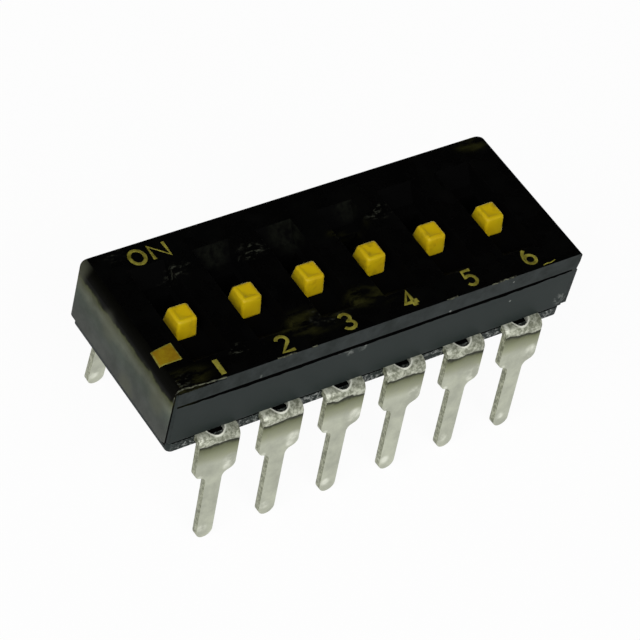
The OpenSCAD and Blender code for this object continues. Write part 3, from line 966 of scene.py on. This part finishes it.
def bend_into_base(strip, inner_y):
    """Slants the leg, spins its top round the bend and draws the strip into the base."""
    pivot = (FIRST_X, -BEND_Y, BEND_Z)
    edit(strip, action="SELECT")
    bpy.ops.transform.rotate(value=SLANT, orient_axis="X", center_override=pivot)
    bpy.ops.mesh.select_all(action="DESELECT")
    pick_faces(strip, lambda middle, normal: normal.z > 0.9)
    bpy.ops.mesh.spin(steps=BEND_STEPS, angle=math.pi / 2 - SLANT, center=pivot, axis=(1, 0, 0))
    bpy.ops.mesh.extrude_region_move(TRANSFORM_OT_translate={"value": (0, BEND_Y + inner_y, 0)})
    bpy.ops.mesh.select_all(action="SELECT")
    bpy.ops.mesh.remove_doubles(threshold=HAIR / 2)
    bpy.ops.mesh.normals_make_consistent(inside=False)
    done()


def punch_relief(strip):
    """Punches the round hole across the bend."""
    bpy.ops.object.select_all(action="DESELECT")
    bpy.ops.mesh.primitive_cylinder_add(vertices=48, radius=RELIEF_HOLE / 2, depth=4 * STOCK,
                                        location=(FIRST_X, RELIEF_INSET - base_high.y, LEG_HEIGHT + STOCK))
    punch = bpy.context.object
    bpy.ops.object.transform_apply(location=True, rotation=True, scale=True)
    combine(strip, punch, "DIFFERENCE")


def add_terminal(inner_y):
    """One whole terminal. Its flat faces are merged before its edges are rounded, so that they shade flat."""
    strip = add_leg()
    bend_into_base(strip, inner_y)
    punch_relief(strip)
    edit(strip, action="SELECT")
    bpy.ops.mesh.dissolve_limited(angle_limit=FLAT)
    done()
    soften(strip, STRIP_SOFT)
    return strip


front = add_terminal(FRONT_END)
rear = add_terminal(-REAR_END)
print("Terminal runs from", [round(c, 3) for c in front.bound_box[0]], "to", [round(c, 3) for c in front.bound_box[6]])

# %% Terminal rows
rear.data.transform(Matrix.Diagonal((1, -1, 1, 1)))
edit(rear, action="SELECT")
bpy.ops.mesh.normals_make_consistent(inside=False)
done()
for row, strip in (("front", front), ("rear", rear)):
    to_metres(strip)
    strip.data.materials.append(terminal_metal)
    for k, x in zip(POSITIONS, switch_x):
        copy = copy_of(strip, f"{row}_pin_{k}", ((x - FIRST_X) * MM, 0, 0))
        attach(copy, "housing")
        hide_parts(f"{row}_terminal_{k}")
    bpy.data.objects.remove(strip)
print("Made", 2 * len(switch_x), "terminals")

# %% [markdown]
# ## The contact springs
# The springs keep their CAD shape, because nothing shows of them in use. They are a gold-plated copper alloy, so
# they get a warm metal with a fine grain.

# %% Gold-plated spring
def make_spring_metal():
    material, shader = new_material("gold_plated_spring", Metallic=1.0, Roughness=0.25)
    place = add_node(material, "TexCoord").outputs["Object"]
    grain = add_node(material, "TexNoise", {"Vector": place, "Scale": per(0.15), "Detail": 3.0})
    colour = add_node(material, "Mix", {0: grain, 6: "#c79a3c", 7: "#e6c070"}, data_type="RGBA")
    set_sockets(material, shader, {"Base Color": colour})
    return material


spring_metal = make_spring_metal()
for k in POSITIONS:
    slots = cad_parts[f"contact_spring_{k}"].data.materials
    slots.clear()
    slots.append(spring_metal)
print("Dressed", len(switch_x), "springs")

# %% [markdown]
# ## Print
# ON, the numbers and the mark for the first terminal are stamped on in pale yellow ink. Each character is a pen
# stroke, so it is drawn as a centre line with a round section and then pressed flat to a few hundredths of a
# millimetre. Arcs are worked out from their centre and radii.

# %% Ink
def make_ink(name, pale, deep, roughness):
    material, shader = new_material(name, Roughness=roughness, Specular_IOR_Level=0.2)
    place = add_node(material, "TexCoord").outputs["Object"]
    worn = add_cloud(material, place, 0.35, (0.35, 0.65), Detail=4.0, Roughness=0.7)[1]
    colour = add_node(material, "Mix", {0: worn, 6: pale, 7: deep}, data_type="RGBA")
    set_sockets(material, shader, {"Base Color": colour})
    return material


stroke_ink = make_ink("stamped_pale_ink", "#8a8433", "#5a5414", 0.55)
mark_ink = make_ink("stamped_orange_ink", "#8a7408", "#785804", 0.6)
print("Made", stroke_ink.name, "and", mark_ink.name)

# %% Strokes of each character
ARC_STEP = 12


def arc(centre_x, centre_y, radius_x, radius_y, start, end):
    """Points along an ellipse between two angles in degrees."""
    steps = max(2, round(abs(end - start) / ARC_STEP))
    angles = [math.radians(start + (end - start) * step / steps) for step in range(steps + 1)]
    return [(centre_x + radius_x * math.cos(a), centre_y + radius_y * math.sin(a)) for a in angles]


GLYPHS = {
    "O": [arc(0.5, 0.5, 0.46, 0.5, 90, 450)],
    "N": [[(0.06, 0), (0.06, 1), (0.94, 0), (0.94, 1)]],
    "1": [[(0.5, 0), (0.5, 1)]],
    "2": [arc(0.46, 0.72, 0.36, 0.28, 165, -35) + [(0.08, 0), (0.92, 0)]],
    "3": [arc(0.45, 0.75, 0.34, 0.25, 160, -90) + arc(0.45, 0.26, 0.4, 0.26, 80, -160)],
    "4": [[(0.62, 0), (0.62, 1), (0.04, 0.28), (0.94, 0.28)]],
    "5": [[(0.84, 1), (0.24, 1), (0.18, 0.56)] + arc(0.47, 0.32, 0.37, 0.32, 120, -150)],
    "6": [arc(0.62, 0.36, 0.52, 0.64, 110, 180) + arc(0.48, 0.3, 0.38, 0.3, 180, 540)],
    "-": [[(0, 0), (0.3, 0.4), (0.6, 0.1), (1, 1)]],
}
INK_HEIGHT = 0.012
TUBE_SWELL = (0.6, 1.1)


def add_tube(name, lines, radius, ragged=None):
    """Tubes along some lines of points, as one mesh. A ragged tube swells and shrinks at random."""
    curve = bpy.data.curves.new(name, "CURVE")
    curve.dimensions = "3D"
    curve.bevel_depth = radius
    curve.bevel_resolution = 3
    curve.use_fill_caps = True
    for line in lines:
        spline = curve.splines.new("POLY")
        spline.points.add(len(line) - 1)
        for point, spot in zip(spline.points, line):
            point.co = (*spot, 1)
            point.radius = ragged.uniform(*TUBE_SWELL) if ragged else 1.0
    tube = bpy.data.objects.new(name, curve)
    bpy.context.scene.collection.objects.link(tube)
    activate(tube)
    bpy.ops.object.convert(target="MESH")
    tube = bpy.context.object
    edit(tube, action="SELECT")
    bpy.ops.mesh.remove_doubles(threshold=HAIR)
    bpy.ops.mesh.normals_make_consistent(inside=False)
    done()
    return tube


def finish_print(piece, ink):
    """Puts a printed piece on the cover."""
    to_metres(piece)
    piece.data.materials.append(ink)
    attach(piece, "housing")


def add_stroke_print(name, glyph, left, bottom, width, height, pen):
    """One character on the cover's top face."""
    lines = [[(left + across * width, bottom + up * height, 0) for across, up in line] for line in GLYPHS[glyph]]
    stroke = add_tube(name, lines, pen / 2)
    flat = Matrix.Translation((0, 0, TOP)) @ Matrix.Diagonal((1, 1, 2 * INK_HEIGHT / pen, 1))
    stroke.data.transform(flat)
    finish_print(stroke, stroke_ink)


PEN = 0.13
BROAD_PEN = 0.2
DIGIT_WIDTH = 0.56
DIGIT_HEIGHT = 0.66
DIGIT_BOTTOM = -2.98
STAMP_SKEW = 0.0118
STAMP_STRETCH = 1.009
for k, x in zip(POSITIONS, switch_x):
    add_stroke_print(f"number_{k}", str(k), x * STAMP_STRETCH - DIGIT_WIDTH / 2, DIGIT_BOTTOM + x * STAMP_SKEW,
                     DIGIT_WIDTH, DIGIT_HEIGHT, BROAD_PEN if k in (1, 4) else PEN)
WORD_HEIGHT = 0.62
WORD_BOTTOM = 2.3
for name, glyph, left, width in (("word_on_o", "O", -6.73, 0.6), ("word_on_n", "N", -5.93, 0.69)):
    add_stroke_print(name, glyph, left, WORD_BOTTOM, width, WORD_HEIGHT, PEN)
add_stroke_print("ink_fleck", "-", left=6.68, bottom=-3.12, width=0.55, height=0.06, pen=0.045)
print("Printed", len(switch_x) + 2, "characters and a fleck")

# %% First terminal mark
MARK_LOW = (-8.22, -1.95)
MARK_HIGH = (-7.36, -1.17)
MARK_SKEW = (0.03, -0.12, 0)
MARK_RIM = 0.035
MARK_SOFT = 0.008
PRESS_STEP = 0.1


def press_on_round_edge(piece):
    """Presses a flat print down where it runs on to the left end's rounded edge."""
    start = cover_low.x + END_ROUND
    for x in (start, start - PRESS_STEP):
        edit(piece, "EDGE", "SELECT")
        bpy.ops.mesh.bisect(plane_co=(x, 0, 0), plane_no=(1, 0, 0))
        done()
    for corner in piece.data.vertices:
        past = max(0, start - corner.co.x)
        corner.co.z -= END_ROUND - math.sqrt(END_ROUND ** 2 - past ** 2)


mark = add_block("first_terminal_mark", (*MARK_LOW, TOP - INK_HEIGHT), (*MARK_HIGH, TOP + INK_HEIGHT))
edit(mark, "EDGE")
pick_edges(mark, lambda a, b: max(a.x, b.x) < MARK_HIGH[0] and min(a.y, b.y) > MARK_LOW[1])
bpy.ops.transform.translate(value=MARK_SKEW)
done()
soften(mark, MARK_SOFT)
edit(mark)
pick_faces(mark, lambda middle, normal: normal.z > 0.99)
bpy.ops.mesh.inset(thickness=MARK_RIM)
done()
biggest = max(face.area for face in mark.data.polygons if face.normal.z > 0)
for face in mark.data.polygons:
    face.material_index = int(face.normal.z > 0 and face.area < biggest)
press_on_round_edge(mark)
finish_print(mark, mark_ink)
mark.data.materials.append(stroke_ink)
print("Printed the mark for the first terminal")

# %% [markdown]
# ## Flash
# Where the mould's halves meet along the top's front edge, a little plastic was squeezed out and broke off ragged.
# Its pale grey colour is a painted highlight along a thin line by the near corner, with smaller crumbs further on. Each
# is a tube along the edge, whose path wanders and whose thickness changes at random, from a fixed seed.

# %% Ragged flash
FLASH_RUNS = [(-8.05, -6.4), (-4.4, -3.65), (-3.05, -2.85), (2.5, 2.95), (4.4, 5.45)]
FLASH_CORNER = [(-8.32, -3.13, -0.5), (-8.32, -3.13, -0.35), (-8.31, -3.13, -0.22), (-8.28, -3.12, -0.13),
                (-8.18, -3.09, -0.04)]
FLASH_STEP = 0.12
FLASH_RADIUS = 0.028
FLASH_DROP = 0.005
WANDER_IN = (-0.01, 0.02)
WANDER_UP = (-0.015, 0.01)


def make_flash_plastic():
    material, shader = new_material("broken_black_pbt", IOR=PBT_IOR, Roughness=0.7, Specular_IOR_Level=0.2)
    place = add_node(material, "TexCoord").outputs["Object"]
    torn = add_cloud(material, place, 0.15, (0.4, 0.6), Detail=3.0)[1]
    # The pale grey is a painted highlight on the flash.
    colour = add_node(material, "Mix", {0: torn, 6: "#1c1d14", 7: "#5a5c4b"}, data_type="RGBA")
    set_sockets(material, shader, {"Base Color": colour})
    return material


def flash_line(start, end, seeded):
    """Points along the top's front edge that wander by a few hundredths of a millimetre."""
    steps = max(3, round((end - start) / FLASH_STEP))
    along = [start + (end - start) * step / steps for step in range(steps + 1)]
    return [(x, cover_low.y + tear_depth(x) + seeded.uniform(*WANDER_IN),
             TOP - FLASH_DROP + seeded.uniform(*WANDER_UP)) for x in along]


flash_seed = random.Random(5)
flash_lines = [flash_line(start, end, flash_seed) for start, end in FLASH_RUNS]
flash_lines[0] = [(x, y, TOP + drop) for x, y, drop in FLASH_CORNER] + flash_lines[0]
flash = add_tube("edge_flash", flash_lines, FLASH_RADIUS, flash_seed)
finish_print(flash, make_flash_plastic())
print("Flash in", len(flash_lines), "runs,", len(flash.data.polygons), "faces")

# %% [markdown]
# ## Floor, light and camera
# A glossy black face shows what it mirrors. The photograph's top face is black, so there is nothing bright up and
# behind; its sides are grey, so they mirror a white floor. The world is therefore pale near the horizon and dark
# overhead, and two soft lamps stand on the camera's side.

# %% Floor
FLOOR_SIZE = 3


def make_floor_material():
    material, shader = new_material("pale_paper", Roughness=0.9, Base_Color="#f4f4f4", Specular_IOR_Level=0.0)
    paths = add_node(material, "LightPath")
    shown = 0.0
    for ray in ("Is Camera Ray", "Is Glossy Ray", "Is Transmission Ray"):
        shown = add_node(material, "Math", {0: shown, 1: paths.outputs[ray]}, operation="MAXIMUM")
    share = add_node(material, "Math", {0: shown, 1: 0.95}, operation="MULTIPLY")
    white = add_node(material, "Emission", {"Color": (1, 1, 1, 1), "Strength": 1.0})
    mixed = add_node(material, "MixShader", {0: share, 1: shader, 2: white})
    set_sockets(material, material.node_tree.nodes["Material Output"], {"Surface": mixed})
    return material


bpy.ops.object.select_all(action="DESELECT")
bpy.ops.mesh.primitive_plane_add(size=FLOOR_SIZE)
floor = bpy.context.object
floor.name = "floor"
floor.data.materials.append(make_floor_material())
print("The floor is", FLOOR_SIZE, "metres wide")

# %% World
PALE_BELOW = 0.02
DARK_ABOVE = 0.3
CEILING = 0.012


def make_world():
    """A sky that is pale at the horizon and dark overhead."""
    world = bpy.data.worlds.new("studio")
    world.use_nodes = True
    parts = add_node(world, "SeparateXYZ", {"Vector": add_node(world, "TexCoord").outputs["Generated"]})
    sky = add_node(world, "MapRange", {"Value": parts.outputs["Z"], "From Min": PALE_BELOW, "From Max": DARK_ABOVE,
                                       "To Min": 1.0, "To Max": CEILING}, interpolation_type="SMOOTHSTEP")
    seen = add_node(world, "LightPath").outputs["Is Camera Ray"]
    strength = add_node(world, "Math", {0: sky, 1: seen}, operation="MAXIMUM")
    set_sockets(world, world.node_tree.nodes["Background"], {"Color": "#fbfaf0", "Strength": strength})
    bpy.context.scene.world = world


make_world()
print("The sky is dark above", round(math.degrees(math.asin(DARK_ABOVE))), "degrees in front")

# %% Lamps
def direction(azimuth, elevation):
    """Unit vector that points away from the switch. Azimuth 0 is in front, and it grows towards +X."""
    turn, rise = math.radians(azimuth), math.radians(elevation)
    return Vector((math.sin(turn) * math.cos(rise), -math.cos(turn) * math.cos(rise), math.sin(rise)))


def add_soft_lamp(name, azimuth, elevation, distance, size, power):
    """A square soft lamp that faces the switch."""
    towards = direction(azimuth, elevation)
    data = bpy.data.lights.new(name, "AREA")
    data.shape = "SQUARE"
    data.size = size
    data.energy = power
    lamp = bpy.data.objects.new(name, data)
    lamp.location = towards * distance + Vector((0, 0, TOP * MM))
    lamp.rotation_mode = "QUATERNION"
    lamp.rotation_quaternion = (-towards).to_track_quat("-Z", "Y")
    bpy.context.scene.collection.objects.link(lamp)


add_soft_lamp("key_lamp", azimuth=-68, elevation=42, distance=0.4, size=0.3, power=1.12)
add_soft_lamp("fill_lamp", azimuth=-8, elevation=40, distance=0.45, size=0.3, power=1.07)
print("Added a key lamp and a fill lamp")

# %% [markdown]
# ## Camera
# The view was solved from the photograph: the row of numbers, sliders and terminals gives the scale, and straight
# edges give the angle. The camera is given by its direction, its roll, and how far it is moved in its own plane.

# %% Camera
VIEW_AZIMUTH = -43.772
VIEW_ELEVATION = 45.608
VIEW_ROLL = 15.496
VIEW_DISTANCE = 103.226
VIEW_RIGHT = 0.830
VIEW_UP = 2.948
VIEW_LENS = 161.18


def add_camera():
    roll = math.radians(VIEW_ROLL)
    back = direction(VIEW_AZIMUTH, VIEW_ELEVATION)
    level = (-back).cross(Vector((0, 0, 1))).normalized()
    upright = level.cross(-back)
    right = level * math.cos(roll) + upright * math.sin(roll)
    up = upright * math.cos(roll) - level * math.sin(roll)
    data = bpy.data.cameras.new("photo_view")
    data.lens = VIEW_LENS
    data.clip_start = 0.001
    camera = bpy.data.objects.new("photo_view", data)
    turned = Matrix((right, up, back)).transposed().to_4x4()
    spot = (back * VIEW_DISTANCE + right * VIEW_RIGHT + up * VIEW_UP) * MM
    camera.matrix_world = Matrix.Translation(spot) @ turned
    bpy.context.scene.collection.objects.link(camera)
    bpy.context.scene.camera = camera


add_camera()
bpy.context.scene.view_settings.view_transform = "Standard"
